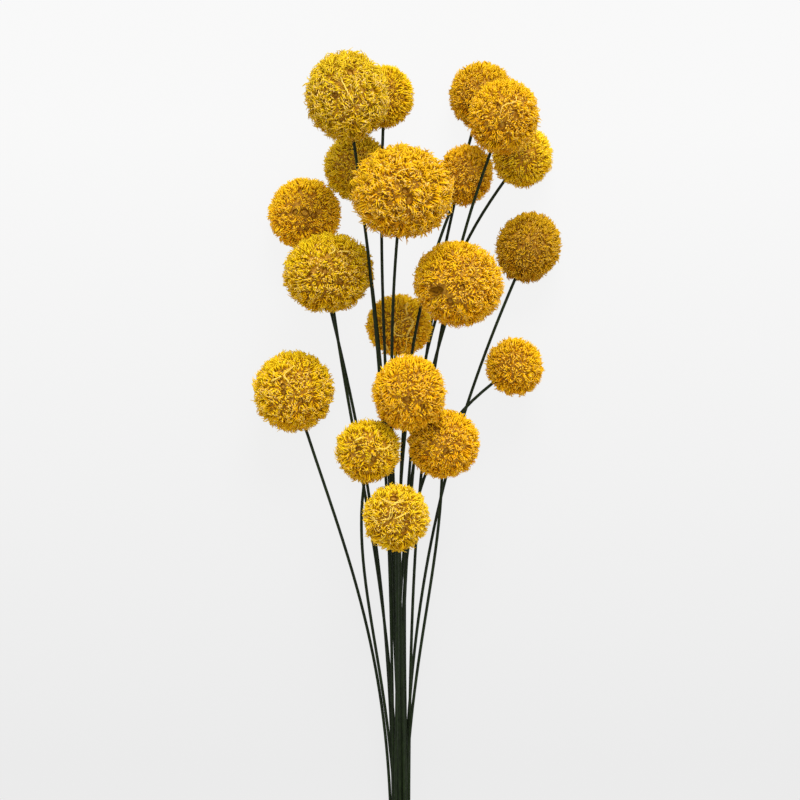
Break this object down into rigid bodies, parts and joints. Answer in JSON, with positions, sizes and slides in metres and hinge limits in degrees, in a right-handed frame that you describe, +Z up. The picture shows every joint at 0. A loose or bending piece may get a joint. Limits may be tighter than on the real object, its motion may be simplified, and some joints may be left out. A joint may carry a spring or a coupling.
{
  "type": "bunch of dried seed balls on wired stems",
  "caption": "Bouquet of round, bristly, golden-yellow dried seed balls, each on its own tape-wrapped wire stem, gathered by a band of tape and laid on its side.",
  "frame": {"origin": "on the surface that the bunch lies on, under the middle of its bounding box", "axes": "+Y along the bunch from the cut stem ends towards the balls, +Z up from the surface, +X to the right as seen from above with the balls at the top"},
  "size_m": [0.1396, 0.4334, 0.0986],
  "materials": {
    "bristles_yellow": "matt, fibrous, dyed bright yellow",
    "bristles_gold": "matt, fibrous, dyed golden yellow",
    "bristles_olive": "matt, fibrous, dyed a muted olive yellow",
    "bristles_brown": "matt, fibrous, dyed a brownish gold",
    "green_tape": "matt crepe tape, very dark green"
  },
  "bodies": {
    "root": {"ball_01": "bristles_olive", "ball_02": "bristles_yellow", "ball_03": "bristles_olive", "ball_04": "bristles_gold", "ball_05": "bristles_brown", "ball_06": "bristles_yellow", "ball_07": "bristles_yellow", "ball_08": "bristles_gold", "ball_09": "bristles_gold", "ball_10": "bristles_olive", "ball_11": "bristles_brown", "ball_12": "bristles_brown", "ball_13": "bristles_gold", "ball_14": "bristles_brown", "ball_15": "bristles_gold", "ball_16": "bristles_gold", "ball_17": "bristles_yellow", "ball_18": "bristles_gold", "ball_19": "bristles_olive", "stem_01": "green_tape", "stem_02": "green_tape", "stem_03": "green_tape", "stem_04": "green_tape", "stem_05": "green_tape", "stem_06": "green_tape", "stem_07": "green_tape", "stem_08": "green_tape", "stem_09": "green_tape", "stem_10": "green_tape", "stem_11": "green_tape", "stem_12": "green_tape", "stem_13": "green_tape", "stem_14": "green_tape", "stem_15": "green_tape", "stem_16": "green_tape", "stem_17": "green_tape", "stem_18": "green_tape", "stem_19": "green_tape", "band": "green_tape"}
  },
  "joints": []
}
